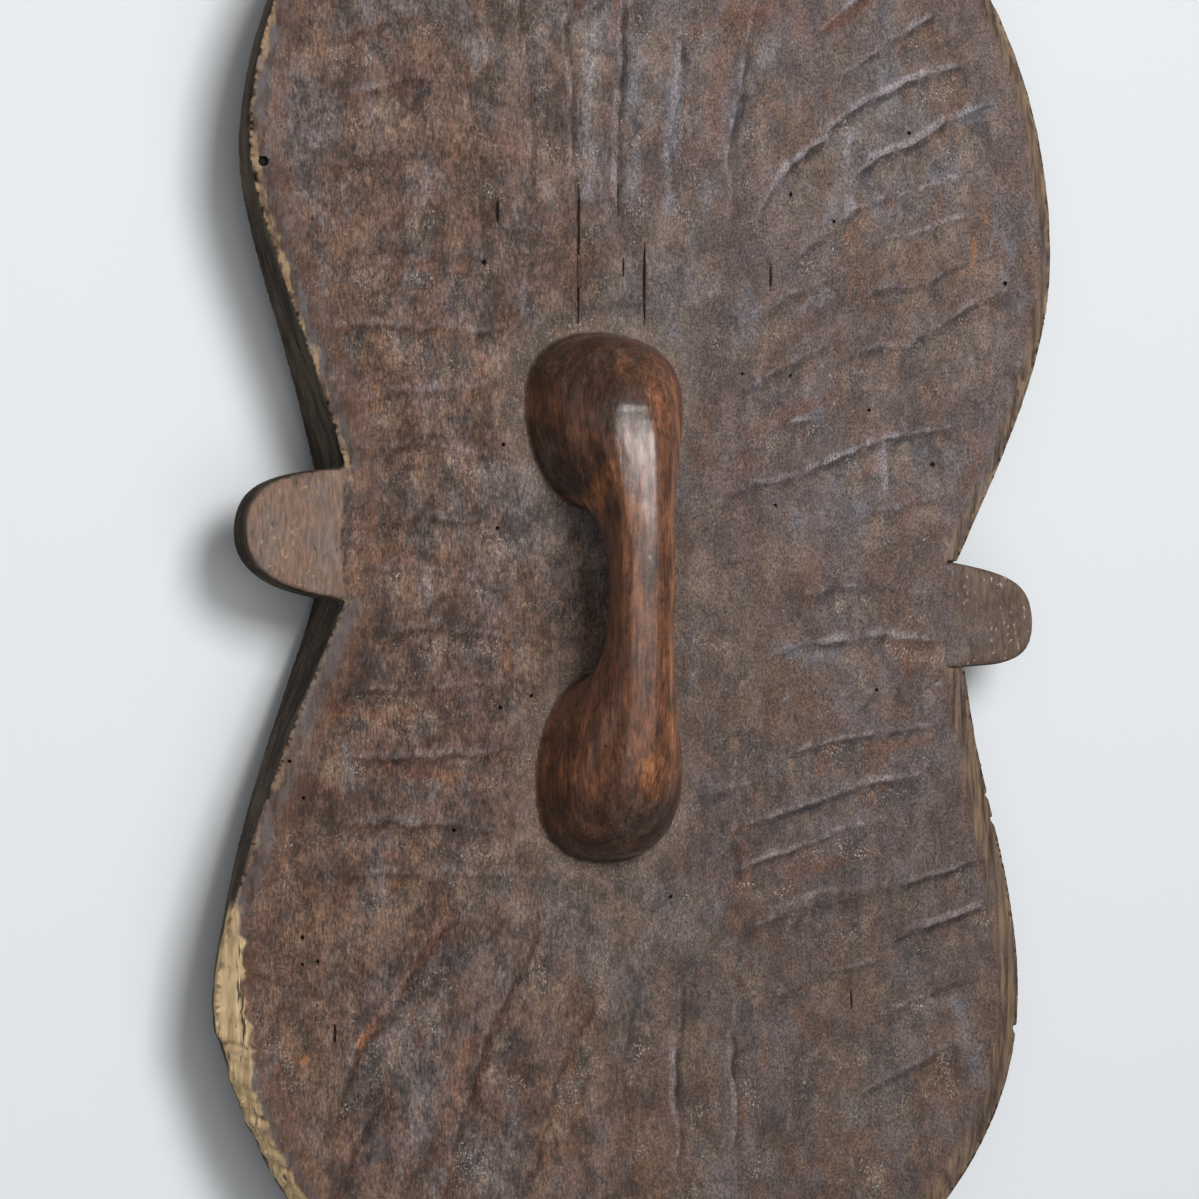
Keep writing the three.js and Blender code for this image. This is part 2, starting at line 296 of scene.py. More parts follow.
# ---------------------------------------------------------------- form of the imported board


class Board:
    """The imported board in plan: its two rim rings, the rows of its tabs, and where points lie in it."""

    def __init__(self, node):
        corners = places(node.data)
        self.outline = self.ring(corners, OUTLINE_HEIGHT)
        self.inner = self.ring(corners, RIM_HEIGHT)
        on_tabs = corners[self.rim_distance(corners[:, :2]) < -4]
        self.tab_rows = {}
        for side in (-1, 1):
            rows = on_tabs[side * on_tabs[:, 0] > 0, 1]
            self.tab_rows[side] = (rows.min(), rows.max())

    @staticmethod
    def ring(corners, height):
        """Bearings and radii of the corners at one height, in order round the middle."""
        found = corners[np.abs(corners[:, 2] - height) < 0.02]
        bearing = np.round(np.arctan2(found[:, 1], found[:, 0]), 4)
        bearing, first = np.unique(bearing, return_index=True)
        return bearing, np.hypot(found[first, 0], found[first, 1])

    @staticmethod
    def share(points, ring):
        """How far out each point is, as a share of the way from the middle to the ring."""
        bearing = np.arctan2(points[:, 1], points[:, 0])
        radius = np.interp(bearing, *ring, period=2 * math.pi)
        return np.hypot(points[:, 0], points[:, 1]) / radius

    def open_rim(self, points):
        """How clear each point is of the tabs, whose roots have no arris, from 0 to 1."""
        clear = np.ones(len(points))
        for side, (low, high) in self.tab_rows.items():
            beyond = np.maximum(low - points[:, 1], points[:, 1] - high)
            clear = np.where(side * points[:, 0] > 0, smoothstep(-1.0, 1.5, beyond), clear)
        return clear

    def back_height(self, points):
        """Height of the smooth hollowed back, before any carving marks."""
        share = np.minimum(self.share(points, self.inner), 1)
        return RIM_HEIGHT - DISH_DEPTH * (1 - share**2)

    def rim_distance(self, points):
        """Distance in plan from the outline, positive inside it."""
        distance = np.linalg.norm(points - self.nearest_on_outline(points), axis=1)
        return np.where(self.share(points, self.outline) < 1, distance, -distance)

    def nearest_on_outline(self, points):
        """The place on the outline nearest to each point, in plan."""
        bearing, radius = self.outline
        ring = np.stack([radius * np.cos(bearing), radius * np.sin(bearing)], axis=1)
        nearest = np.full(points.shape, np.inf)
        least = np.full(len(points), np.inf)
        for start, end in zip(ring, np.roll(ring, -1, axis=0)):
            run = end - start
            share = np.clip(((points - start) @ run) / (run @ run), 0, 1)
            place = start + share[:, None] * run
            gap = np.linalg.norm(points - place, axis=1)
            closer = gap < least
            least[closer] = gap[closer]
            nearest[closer] = place[closer]
        return nearest


def grip_foot(node, board):
    """Points round the foot of the grip, where it meets the back."""
    tree = BVHTree.FromPolygons(
        [v.co for v in node.data.vertices], [p.vertices for p in node.data.polygons]
    )
    (low_x, low_y), (high_x, high_y) = GRIP_BOX
    columns = np.arange(low_x, high_x)
    rows = np.arange(low_y, high_y)
    plan = np.array([(x, y) for y in rows for x in columns], float)
    start_height = board.back_height(plan) + FOOT_HEIGHT
    inside = np.zeros(len(plan), bool)
    for i, ((x, y), z) in enumerate(zip(plan, start_height)):
        _, normal, _, _ = tree.ray_cast(Vector((x, y, z)) * MM, Vector((0, 0, 1)))
        inside[i] = normal is not None and normal.z > 0
    grid = inside.reshape(len(rows), len(columns))
    core = grid.copy()
    for axis, step in itertools.product((0, 1), (-1, 1)):
        core &= np.roll(grid, step, axis)
    return plan[(grid & ~core).ravel()]


def foot_distance(points, foot, reach=30.0):
    """Distance in plan to the foot of the grip, as far as it matters."""
    distance = np.full(len(points), reach)
    low = foot.min(axis=0) - reach
    high = foot.max(axis=0) + reach
    near = np.flatnonzero(np.all((points > low) & (points < high), axis=1))
    for chunk in np.array_split(near, max(1, len(near) // 4000)):
        gaps = points[chunk, None, :] - foot[None, :, :]
        distance[chunk] = np.minimum(reach, np.sqrt((gaps**2).sum(axis=2)).min(axis=1))
    return distance


# ---------------------------------------------------------------- relief of the back


class Map:
    """A height map of the back in plan, read by smooth interpolation."""

    def __init__(self):
        self.low = -MAP_REACH
        size = np.ceil(2 * MAP_REACH / MAP_STEP).astype(int)
        self.x = self.low[0] + MAP_STEP * np.arange(size[0])
        self.y = self.low[1] + MAP_STEP * np.arange(size[1])
        self.values = np.zeros((size[1], size[0]))

    def plan(self):
        x, y = np.meshgrid(self.x, self.y)
        return np.stack([x.ravel(), y.ravel()], axis=1)

    def window(self, middle, reach):
        """Slices and plan offsets of the part of the map within reach of a point."""
        columns = slice(*np.searchsorted(self.x, (middle[0] - reach, middle[0] + reach)))
        rows = slice(*np.searchsorted(self.y, (middle[1] - reach, middle[1] + reach)))
        x, y = np.meshgrid(self.x[columns] - middle[0], self.y[rows] - middle[1])
        return (rows, columns), x, y

    def blurred(self, radius):
        """The map's values averaged with a Gaussian of that radius."""
        across = np.fft.fftfreq(self.values.shape[1], MAP_STEP)
        along = np.fft.fftfreq(self.values.shape[0], MAP_STEP)
        spread = np.exp(-2 * (math.pi * radius) ** 2 * (across[None, :] ** 2 + along[:, None] ** 2))
        return np.real(np.fft.ifft2(np.fft.fft2(self.values) * spread))

    def read(self, points, values=None):
        values = self.values if values is None else values
        place = (points - self.low) / MAP_STEP
        place = np.clip(place, 0, np.array(values.shape[::-1]) - 1.001)
        base = place.astype(int)
        part = place - base
        x, y = base.T
        low = values[y, x] * (1 - part[:, 0]) + values[y, x + 1] * part[:, 0]
        high = values[y + 1, x] * (1 - part[:, 0]) + values[y + 1, x + 1] * part[:, 0]
        return low * (1 - part[:, 1]) + high * part[:, 1]


def adze_cuts():
    """Every cut: the two ends of its upper edge, its width and its depth."""
    yield from CUTS
    rng = np.random.default_rng(CUT_SEED)
    for first, last, count, first_angle, last_angle, length, width, depth in CUT_ROWS:
        for share in np.linspace(0, 1, count):
            middle = np.array(first) * (1 - share) + np.array(last) * share + rng.normal(0, 2.5, 2)
            angle = math.radians(first_angle * (1 - share) + last_angle * share + rng.normal(0, 4))
            half = 0.5 * length * rng.uniform(0.8, 1.2) * np.array([math.cos(angle), math.sin(angle)])
            yield middle - half, middle + half, width, depth * rng.uniform(0.6, 1.3)


def cut_marks(relief):
    """Cuts every adze mark; where cuts cross, the deeper one shows and a sharp crest is left."""
    wander = (2.4 * layered_noise(relief.plan(), 26, 31, 4)).reshape(relief.values.shape)
    for start, end, width, depth in adze_cuts():
        start, end = np.asarray(start, float), np.asarray(end, float)
        length = np.linalg.norm(end - start)
        heading = (end - start) / length
        part, x, y = relief.window((start + end) / 2, 0.65 * length + width)
        along = x * heading[0] + y * heading[1]
        across = (x * heading[1] - y * heading[0] + wander[part]) / width
        side = (across - STEEP_SHARE) / np.where(across < STEEP_SHARE, STEEP_SHARE, 1 - STEEP_SHARE)
        bowl = side**2 + np.abs(2 * along / (1.2 * length)) ** 3
        relief.values[part] = np.minimum(relief.values[part], depth * (bowl - 1))


def carved_relief(foot):
    """The back's relief: adze cuts and slow unevenness, fading out at the grip and the rim."""
    relief = Map()
    cut_marks(relief)
    relief.values = relief.blurred(0.7)
    plan = relief.plan()
    uneven = 0.40 * layered_noise(plan, 46, 41) + 0.14 * layered_noise(plan, (6, 14), 47, 2)
    fade = 0.25 + 0.75 * smoothstep(0, 22, foot_distance(plan, foot, 24.0))
    shape = relief.values.shape
    relief.values = (relief.values + uneven.reshape(shape)) * fade.reshape(shape)
    return relief


def falling(relief):
    """How steeply the relief falls towards the lower right, where the cuts have their steep sides."""
    down, right = np.gradient(relief.blurred(0.9), MAP_STEP)
    return (down - right) / math.sqrt(2)


def strokes(points, lines):
    """How far each point lies inside any of the strokes, from 0 to 1, with ragged edges."""
    ragged = 0.9 * layered_noise(points, (2.5, 7), 59, 2)
    share = np.zeros(len(points))
    for start, end, half in lines:
        gap = line_distance(points, start, end) + ragged * min(1, half)
        share = np.maximum(share, smoothstep(1.5 * half + 0.5, 0.3 * half, gap))
    return share


# ---------------------------------------------------------------- cracks and holes


def crack_distance(points):
    """Distance from the nearest crack's wandering line, less its half width, in plan."""
    drift = CRACK_WANDER * lattice_noise(points[:, :2], (40, 26), 53)
    moved = points[:, :2] + np.stack([drift, np.zeros(len(points))], axis=1)
    nearest = np.full(len(points), NO_MARK)
    for x, high, low, width in CRACKS:
        gap = line_distance(moved, (x, high), (x, low))
        end = np.minimum(high - points[:, 1], points[:, 1] - low)
        half = 0.5 * width * smoothstep(-1, 0.35 * (high - low), end)
        nearest = np.minimum(nearest, gap - half)
    return nearest


def hole_distance(points):
    """Distance from the nearest worm hole's edge, in plan, negative inside it."""
    nearest = np.full(len(points), NO_MARK)
    for x, y, diameter in WORM_HOLES:
        gap = np.hypot(points[:, 0] - x, points[:, 1] - y) - diameter / 2
        nearest = np.minimum(nearest, gap)
    return nearest


# ---------------------------------------------------------------- fine mesh


def remeshed(node):
    """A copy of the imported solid's mesh as an even, fine mesh."""
    piece = bpy.data.objects.new(PIECE, node.data.copy())
    bpy.context.scene.collection.objects.link(piece)
    joined = bmesh.new()
    joined.from_mesh(piece.data)
    bmesh.ops.remove_doubles(joined, verts=joined.verts, dist=0.00001)
    joined.to_mesh(piece.data)
    joined.free()
    voxels = piece.modifiers.new("even mesh", "REMESH")
    voxels.mode = "VOXEL"
    voxels.voxel_size = VOXEL * MM
    apply_modifiers(piece)
    return piece


def apply_modifiers(piece):
    graph = bpy.context.evaluated_depsgraph_get()
    made = bpy.data.meshes.new_from_object(piece.evaluated_get(graph))
    piece.modifiers.clear()
    piece.data = made
    made.name = PIECE


def edge_pairs(mesh):
    flat = np.empty(len(mesh.edges) * 2, np.int32)
    mesh.edges.foreach_get("vertices", flat)
    return flat.reshape(-1, 2)


def relax(mesh, rounds, share=0.5):
    """Evens out a mesh: each vertex moves towards the middle of its neighbours and nearly back."""
    a, b = edge_pairs(mesh).T
    points = places(mesh)
    count = np.bincount(a, minlength=len(points)) + np.bincount(b, minlength=len(points))
    for pull in (share, -1.04 * share) * rounds:
        middle = np.stack([
            np.bincount(a, points[b, i], len(points)) + np.bincount(b, points[a, i], len(points))
            for i in range(3)
        ], axis=1) / count[:, None]
        points = points + pull * (middle - points)
    set_places(mesh, points)


def sharpen_arris(mesh, board):
    """Brings the vertices nearest the rim's outer edge exactly onto it."""
    points = places(mesh)
    level = np.flatnonzero(np.abs(points[:, 2] - OUTLINE_HEIGHT) < ARRIS_REACH)
    plan = points[level, :2]
    edge = board.nearest_on_outline(plan)
    gap = np.linalg.norm(plan - edge, axis=1)
    near = np.hypot(gap, points[level, 2] - OUTLINE_HEIGHT) < ARRIS_REACH
    near &= board.open_rim(plan) > 0.5
    points[level[near], :2] = edge[near]
    points[level[near], 2] = OUTLINE_HEIGHT
    set_places(mesh, points)


def refine(mesh, board, rounds=3, reach=1.2):
    """Splits the mesh of the back finely round each crack and worm hole."""
    for _ in range(rounds):
        points = places(mesh)
        top = points[:, 2] > board.back_height(points) - 2
        near = np.minimum(crack_distance(points), hole_distance(points)) < reach
        chosen = top & near
        pairs = edge_pairs(mesh)
        split = np.flatnonzero(chosen[pairs[:, 0]] & chosen[pairs[:, 1]])
        fine = bmesh.new()
        fine.from_mesh(mesh)
        fine.edges.ensure_lookup_table()
        bmesh.ops.subdivide_edges(fine, edges=[fine.edges[i] for i in split], cuts=1, use_grid_fill=True)
        bmesh.ops.triangulate(fine, faces=[f for f in fine.faces if len(f.verts) > 4])
        fine.to_mesh(mesh)
        fine.free()


def decimated(piece):
    """Brings the piece down to its share of triangles, where its surface is plainest first."""
    piece.data.calc_loop_triangles()
    thin = piece.modifiers.new("fewer triangles", "DECIMATE")
    thin.ratio = min(1, TRIANGLES / len(piece.data.loop_triangles))
    thin.use_collapse_triangulate = True
    apply_modifiers(piece)


# ---------------------------------------------------------------- carving


def outward(points):
    """Directions in plan from the middle of the part to each point."""
    return points[:, :2] / np.linalg.norm(points[:, :2], axis=1)[:, None]


def over_grip(plan):
    """Whether each point lies in the box that holds the grip."""
    return np.all((plan > GRIP_BOX[0]) & (plan < GRIP_BOX[1]), axis=1)


def break_at(points):
    """Width, loss and fall of the broken rim at each point, which are nothing away from it."""
    stations = BREAK[::-1]
    side = points[:, 0] < -60
    jag = 0.20 * layered_noise(points[:, 1:2], 5, 61) + 0.12 * layered_noise(points[:, 1:2], 24, 67)
    return [
        np.interp(points[:, 1], stations[:, 0], stations[:, column]) * side * (1 + jag)
        for column in (1, 2, 3)
    ]


def break_rim(points, distance):
    """Tears away the rim of the lower left lobe, leaving a sloping face of bare fibres."""
    width, loss, fall = break_at(points)
    share = np.clip(1 - distance / np.maximum(width, 0.01), 0, 1)
    share = np.where(width > 0.2, share, 0)
    height = smoothstep(0.3, 1, points[:, 2] / OUTLINE_HEIGHT)
    outwards = outward(points)
    moved = points.copy()
    moved[:, :2] -= outwards * (loss * share * (0.4 + 0.6 * height))[:, None]
    moved[:, 2] -= fall * share * smoothstep(0.5, 1, points[:, 2] / OUTLINE_HEIGHT)
    fibres = lattice_noise(points, (1.8, 18, 4), 71) + 0.7 * lattice_noise(points, (3, 34, 6), 73)
    torn = smoothstep(0, 0.15, share) * smoothstep(0.4, 0.8, height)
    moved[:, 2] += 0.6 * fibres * torn
    moved[:, :2] += outwards * (0.8 * fibres * torn)[:, None]
    return moved


def wear_rim(points, distance):
    """Cuts the small nicks, the lost flake and the crumbled arris into the rim."""
    moved = points.copy()
    outwards = outward(points)
    for x, y, half, depth in NICKS:
        gap = np.hypot((points[:, 0] - x) * 0.6, points[:, 1] - y)
        push = depth * smoothstep(half, 0.3 * half, gap) * smoothstep(6, 0, distance)
        moved[:, :2] -= outwards * push[:, None]
        moved[:, 2] -= 0.5 * push
    (x, y), half, depth = CHIP
    fall = smoothstep(half, 0.6 * half, np.abs(points[:, 0] - x) + np.abs(points[:, 1] - y))
    moved[:, 2] -= depth * fall * (points[:, 2] > OUTLINE_HEIGHT - 2)
    crumbled = smoothstep(0.2, 1.0, layered_noise(points[:, :2], (8, 14), 97))
    on_arris = smoothstep(3.0, 0.5, np.abs(distance))
    crumbled *= on_arris * smoothstep(-4, -1, points[:, 2] - OUTLINE_HEIGHT)
    crumbled *= np.where(points[:, 0] < 0, 1.0, 0.25)
    moved[:, 2] -= 0.9 * crumbled
    moved[:, :2] -= outwards * (0.5 * crumbled)[:, None]
    return moved


def crest_height(points):
    """Height of the grip's crest above each point's place along it."""
    stations = np.arange(GRIP_BOX[0][1], GRIP_BOX[1][1] + 1, CREST_STEP)
    nearest = np.round((points[:, 1] - stations[0]) / CREST_STEP).astype(int)
    heights = np.zeros(len(stations))
    np.maximum.at(heights, np.clip(nearest, 0, len(stations) - 1), points[:, 2])
    return np.interp(points[:, 1], stations, heights)


def facet_crest(points, is_grip):
    """Works the top of the grip into its rubbed facet, which leaves a soft shoulder on the left."""
    grip = points[is_grip]
    y = grip[:, 1]
    middle, half, below = [np.interp(y, CREST_FACET[:, 0], CREST_FACET[:, i]) for i in (1, 2, 3)]
    facet = crest_height(grip) - below + FACET_TIP * (grip[:, 0] - middle)
    gap = np.abs(grip[:, 0] - middle) - half
    near_top = smoothstep(14, 8, facet - grip[:, 2])
    run = smoothstep(-104, -84, y) * smoothstep(92, 52, y)
    strength = 0.68 + 0.22 * smoothstep(5, 30, y)
    share = strength * smoothstep(FACET_FADE, 0, gap) * near_top * run
    moved = points.copy()
    moved[is_grip, 2] += share * (facet - grip[:, 2])
    return moved


def carve(mesh, board, foot, relief):
    """Moves the vertices of the smooth solid to the carved, worn and broken surface."""
    points = places(mesh)
    normals = vertex_normals(mesh)
    plan = points[:, :2]
    back = board.back_height(plan)
    distance = board.rim_distance(plan)
    foot_gap = foot_distance(plan, foot)
    is_grip = over_grip(plan) & (points[:, 2] > back + 1.2)
    level = smoothstep(0.55, 0.85, normals[:, 2]) * (~is_grip)
    on_back = level * (np.abs(points[:, 2] - back) < 2.5) * (distance > 0)

    inside_bevel = smoothstep(BEVEL_WIDTH, BEVEL_WIDTH + 3, distance)
    clear_of_foot = smoothstep(2.5, 6, foot_gap)
    moved = facet_crest(points, is_grip)
    moved[:, 2] += on_back * inside_bevel * clear_of_foot * (back - points[:, 2])

    rim_fade = 0.3 + 0.7 * smoothstep(2, 16, distance)
    moved[:, 2] += on_back * rim_fade * relief.read(plan)

    crack = smoothstep(0.4, -0.1, crack_distance(points))
    hole = smoothstep(0.2, -0.3, hole_distance(points))
    moved[:, 2] -= on_back * np.maximum(CRACK_DEPTH * crack, HOLE_DEPTH * hole)
    for x, y, radius, depth in DENTS:
        moved[:, 2] -= on_back * depth * smoothstep(radius, 0, np.hypot(plan[:, 0] - x, plan[:, 1] - y))
    groove = smoothstep(2.6, 0.6, foot_gap) * (1 - is_grip) * level
    moved[:, 2] -= 0.8 * groove

    start, end, width, depth = TAB_GROOVE
    on_tab = smoothstep(0.6, 0.9, normals[:, 2]) * (plan[:, 0] > 150)
    moved[:, 2] -= on_tab * depth * smoothstep(width / 2, 0, line_distance(plan, start, end))

    whittled = 0.32 * layered_noise(points, (13, 26, 15), 81, 3) * is_grip
    flank_marks = 0.30 * layered_noise(points, (22, 30, 40), 83, 3) * (1 - np.abs(normals[:, 2]))
    front_marks = 0.5 * layered_noise(plan, (26, 40), 85, 2) * smoothstep(0.1, 0.6, -normals[:, 2])
    front_marks *= smoothstep(2, 10, points[:, 2])
    surface = whittled + flank_marks * (~is_grip) + front_marks
    moved += normals * surface[:, None]

    moved = break_rim(moved, distance)
    moved = wear_rim(moved, distance)
    set_places(mesh, moved)


# ---------------------------------------------------------------- fields for the material


def store(mesh, name, values):
    mesh.attributes.new(name, "FLOAT", "POINT").data.foreach_set("value", values.astype(np.float32))


def mark_fields(mesh, board, foot, relief):
    """Stores on the vertices what the material needs to know about where it is."""
    points = places(mesh)
    normals = vertex_normals(mesh)
    plan = points[:, :2]
    back = board.back_height(plan)
    grip = smoothstep(0.2, 1.6, points[:, 2] - back) * over_grip(plan)
    distance = board.rim_distance(plan)
    width, loss, _ = break_at(points)
    on_back = (1 - grip) * smoothstep(0.3, 0.7, normals[:, 2])
    high_enough = smoothstep(41.5, 44.5, points[:, 2])
    store(mesh, "grip", grip)
    store(mesh, "rim_distance", distance - loss * (width > 0.2))
    store(mesh, "flank", smoothstep(0.75, 0.35, normals[:, 2]) * (1 - grip))
    store(mesh, "bare", smoothstep(0.9, -0.5, distance - width) * smoothstep(0, 3, width) * high_enough)
    store(mesh, "crest", relief.read(plan, relief.values - relief.blurred(5.0)) * on_back)
    store(mesh, "ridge", relief.read(plan, relief.values - relief.blurred(2.2)) * on_back)
    store(mesh, "falling", relief.read(plan, falling(relief)) * on_back)
    store(mesh, "crack", crack_distance(points))
    store(mesh, "hole", hole_distance(points))
    store(mesh, "foot", np.hypot(foot_distance(plan, foot), np.maximum(0, points[:, 2] - back)))
    store(mesh, "tab", smoothstep(0.5, -1.5, distance) * smoothstep(60, 50, np.abs(plan[:, 1])))
    store(mesh, "open_rim", board.open_rim(plan))
    for tint, lines in STROKES.items():
        store(mesh, tint, strokes(plan, lines) * (1 - grip))
    store(mesh, "worn_grip", strokes(plan, GRIP_WEAR) * grip)
    # The upper bulb's underside gets painted shade; its upper left shoulder and the grip's lower end are
    # darkened too.
    underside = smoothstep(0.50, 0.70, normals @ UNDERCUT_FACING) * smoothstep(0, 20, plan[:, 1])
    shoulder = smoothstep(0.62, 0.85, normals @ SHOULDER_FACING) * smoothstep(0, 20, plan[:, 1])
    dark_grip = np.maximum(underside, 0.8 * shoulder)
    store(mesh, "dark_grip", np.maximum(dark_grip, 0.8 * smoothstep(-94, -110, plan[:, 1])) * grip)


# ---------------------------------------------------------------- material


class Shader:
    """Short names for the nodes that a procedural material is made of."""

    def __init__(self, material):
        material.use_nodes = True
        self.tree = material.node_tree
        self.tree.nodes.clear()
        self.places = self.node("ShaderNodeTexCoord").outputs["Object"]
        self.noises = 0

    def node(self, kind, **settings):
        made = self.tree.nodes.new(kind)
        for name, value in settings.items():
            setattr(made, name, value)
        return made

    def link(self, value, socket):
        if isinstance(value, bpy.types.NodeSocket):
            self.tree.links.new(value, socket)
        else:
            socket.default_value = value

    def field(self, name):
        return self.node("ShaderNodeAttribute", attribute_name=name).outputs["Fac"]

    def noise(self, scale, detail=3.0, roughness=0.55, distortion=0.0):
        """Noise with its scale in waves a metre, one number or one for each axis."""
        self.noises += 1
        scaled = self.node("ShaderNodeVectorMath", operation="MULTIPLY_ADD")
        self.link(self.places, scaled.inputs[0])
        self.link(scale if isinstance(scale, tuple) else (scale,) * 3, scaled.inputs[1])
        self.link((17.3 * self.noises, 5.1 * self.noises, 9.7 * self.noises), scaled.inputs[2])
        made = self.node("ShaderNodeTexNoise")
        self.link(scaled.outputs["Vector"], made.inputs["Vector"])
        for name, value in zip(
            ("Scale", "Detail", "Roughness", "Distortion"), (1.0, detail, roughness, distortion)
        ):
            self.link(value, made.inputs[name])
        return made.outputs["Fac"]

    def ramp(self, value, low, high, to_low=0.0, to_high=1.0):
        made = self.node("ShaderNodeMapRange", interpolation_type="SMOOTHSTEP")
        for name, given in zip(
            ("Value", "From Min", "From Max", "To Min", "To Max"), (value, low, high, to_low, to_high)
        ):
            self.link(given, made.inputs[name])
        return made.outputs["Result"]

    def patchy(self, scale, detail, roughness, low, high, to_low=0.0, to_high=1.0):
        """Patches of noise: to_low where it is under one level, to_high where it is over another."""
        return self.ramp(self.noise(scale, detail, roughness), low, high, to_low, to_high)

    def between(self, share, none, full):
        """A number that goes from one value to another with a share."""
        return self.ramp(share, 0.0, 1.0, none, full)

    def math(self, operation, first, second=0.0):
        made = self.node("ShaderNodeMath", operation=operation)
        self.link(first, made.inputs[0])
        self.link(second, made.inputs[1])
        return made.outputs[0]

    def product(self, *values):
        total = values[0]
        for value in values[1:]:
            total = self.math("MULTIPLY", total, value)
        return total

    def times(self, colour, shade):
        return self.mix(1.0, colour, shade, "MULTIPLY")

    def mix(self, share, first, second, blend="MIX"):
        made = self.node("ShaderNodeMix", data_type="RGBA", blend_type=blend)
        self.link(share, made.inputs["Factor"])
        self.link(rgba(first), made.inputs["A"])
        self.link(rgba(second), made.inputs["B"])
        return made.outputs["Result"]


def rgba(value):
    """A colour of three numbers with its alpha added; anything else as it is."""
    return (*value, 1.0) if isinstance(value, tuple) and len(value) == 3 else value


# Colours, as linear light.
MAUVE_GREY = (0.126, 0.088, 0.077)
RED_BROWN = (0.112, 0.064, 0.047)
# Dark stains, and painted shade on the cuts' steep sides and in the crease round the grip's foot.
DARK_SHADE_AND_STAIN = (0.034, 0.029, 0.028)
# Dark red: painted shade on the steep sides of the cuts on the left, and fibres in the rim's bevel.
DARK_RED = (0.062, 0.029, 0.019)
RUST = (0.190, 0.080, 0.042)
TAN_FILM = (0.190, 0.133, 0.098)
SLATE = (0.060, 0.055, 0.058)
DUST = (0.50, 0.44, 0.37)
# Pale rubbed wear, and a painted highlight along the crests of the cuts.
PALE_HIGHLIGHT_AND_RUB = (0.28, 0.235, 0.232)
# Painted sheen, in blue-grey streaks on the back.
BLUE_SHEEN = (0.225, 0.225, 0.240)
# Painted sheen in patches on the back's crests; also a tint in the rim's bevel.
BLUE_GREY = (0.166, 0.158, 0.166)
FLANK_BROWN = (0.072, 0.053, 0.036)
FLANK_DARK = (0.018, 0.013, 0.009)
OCHRE = (0.40, 0.265, 0.150)
ORANGE = (0.38, 0.150, 0.060)
BARE_WOOD = (0.66, 0.48, 0.27)
GRIP_RED = (0.188, 0.074, 0.037)
GRIP_DARK = (0.040, 0.024, 0.017)
# Near black: painted shade on the upper bulb's underside; also its darkened shoulder and the grip's lower
# end.
GRIP_BLACK = (0.026, 0.016, 0.012)
GRIP_ORANGE = (0.36, 0.140, 0.054)
TAB_TAN = (0.225, 0.140, 0.102)
TAB_BROWN = (0.125, 0.082, 0.062)
TAB_GREY = (0.20, 0.165, 0.145)
# Painted shade in the cracks and worm holes.
HOLE_BLACK = (0.006, 0.005, 0.004)
EARTH = (0.165, 0.118, 0.086)
HAZE = (0.150, 0.134, 0.138)
RUSSET = (0.150, 0.083, 0.050)
OCHRE_BROWN = (0.13, 0.085, 0.05)
SPLINTER_DARK = (0.050, 0.031, 0.022)
SPLINTER_PALE = (0.27, 0.180, 0.110)
FLANK_SPECK = (0.20, 0.145, 0.085)
BARE_SHADE = (0.36, 0.24, 0.12)
# The upper lobe is painted lighter and bluer, a painted sheen; the lower lobe is darker towards the
# bottom.
UPPER_TONE = (1.10, 1.14, 1.21)  # multiplies the colour of the upper lobe
LOWER_TONE = (0.88, 0.84, 0.82)  # multiplies the colour of the lower lobe

# Patches on the back, each laid over the ones before: colour, waves a metre, layers of the noise,
# how far it has to rise for the patch to start and to be full, how much it then covers, and how
# much of that is left on the crests between the cuts.
BACK_PATCHES = [
    (EARTH, (13, 9, 13), 6, 0.459, 0.582, 0.55, 0.6),
    (HAZE, (15, 9, 15), 6, 0.48, 0.602, 0.50, 1.0),
    (RUSSET, (30, 16, 30), 5, 0.458, 0.627, 0.75, 0.7),
    # painted sheen: blue-grey patches that stay on the crests
    (BLUE_GREY, (44, 20, 44), 5, 0.542, 0.691, 0.50, 1.0),
    (TAN_FILM, (66, 42, 66), 4, 0.50, 0.623, 0.70, 0.3),
    (SLATE, (90, 46, 90), 4, 0.50, 0.612, 0.60, 0.4),
    (RUST, (60, 24, 60), 4, 0.578, 0.723, 0.60, 0.5),
    (DARK_SHADE_AND_STAIN, (85, 55, 85), 4, 0.589, 0.723, 0.50, 0.3),
]

# What each kind of stroke on the back looks like: colour and how much it covers.
STROKE_TINTS = {
    "pale": (PALE_HIGHLIGHT_AND_RUB, 0.7),
    "blue": (BLUE_SHEEN, 0.38),
    "red": (RUST, 0.5),
    "dark": (DARK_SHADE_AND_STAIN, 0.8),
    "orange": (ORANGE, 0.85),
}

# Gloss and fine relief of the material.
SPECULAR = 0.25
COAT_ROUGHNESS = 0.26
BUMP_STRENGTH = 0.35
BUMP_DISTANCE = 0.0005  # metres


def place_ramp(s, axis, low, high):
    """A share that rises along one axis of the part, between two places in metres."""
    parted = s.node("ShaderNodeSeparateXYZ")
    s.link(s.places, parted.inputs[0])
    return s.ramp(parted.outputs[axis], low, high)


